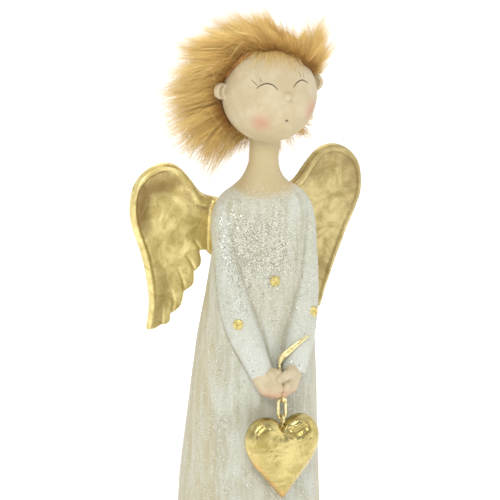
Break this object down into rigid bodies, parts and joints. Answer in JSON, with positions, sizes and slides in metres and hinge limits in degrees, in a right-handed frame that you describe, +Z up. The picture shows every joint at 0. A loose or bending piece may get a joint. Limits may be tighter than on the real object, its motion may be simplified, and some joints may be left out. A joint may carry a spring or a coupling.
{
  "type": "angel figurine",
  "caption": "Slender standing angel in a long robe, with dished wings, a fur wig and clasped hands that carry a swinging heart on a wire.",
  "frame": {"origin": "centre of the base, on the flat face that the figurine stands on", "axes": "+Z up along the figure, -Y is the way the figure faces, +X is the figure's left"},
  "size_m": [0.1343, 0.0958, 0.349],
  "materials": {
    "robe_resin": "cast polyresin, cream paint brushed with silver and gold glitter",
    "sleeve_resin": "cast polyresin, silver-white paint with glitter",
    "raw_resin": "unpainted cast polyresin",
    "felt": "thin pressed felt",
    "skin_resin": "cast polyresin, satin skin paint with blushed cheeks",
    "steel_pin": "drawn steel pin",
    "wig_cloth": "thin brown backing that the fur is glued to",
    "fur": "fluffy ginger fur with pale tips",
    "gold_leaf": "antique gold leaf, rubbed red-brown at the rim, pitted",
    "gold_leaf_heart": "bright crinkled gold leaf",
    "gold_paint": "thick gold paint",
    "gold_wire": "gilded wire"
  },
  "bodies": {
    "figurine": {"robe_casting": "robe_resin", "right_sleeve": "sleeve_resin", "left_sleeve": "sleeve_resin", "bottom_plate": "raw_resin", "felt_pad": "felt", "head_casting": "skin_resin", "right_hand": "skin_resin", "left_hand": "skin_resin", "neck_dowel": "steel_pin", "wig_cap": "wig_cloth", "fur_wig": "fur", "right_wing": "gold_leaf", "left_wing": "gold_leaf", "right_wing_pins": "steel_pin", "left_wing_pins": "steel_pin", "chest_dot": "gold_paint", "right_sleeve_dot": "gold_paint", "left_sleeve_dot": "gold_paint", "hanger_wire": "gold_wire"},
    "link": {"hanging_link": "gold_wire"},
    "heart": {"heart_pendant": "gold_leaf_heart", "heart_eyelet": "gold_wire"}
  },
  "joints": [
    {"name": "link_swing", "type": "hinge", "parent": "figurine", "child": "link", "pos_m": [0, -0.0468, 0.1433], "axis": [-1, 0, 0], "range_deg": [-3, 45]},
    {"name": "heart_rock", "type": "hinge", "parent": "link", "child": "heart", "pos_m": [0, -0.0468, 0.1321], "axis": [0, 1, 0], "range_deg": [-12, 12]}
  ]
}
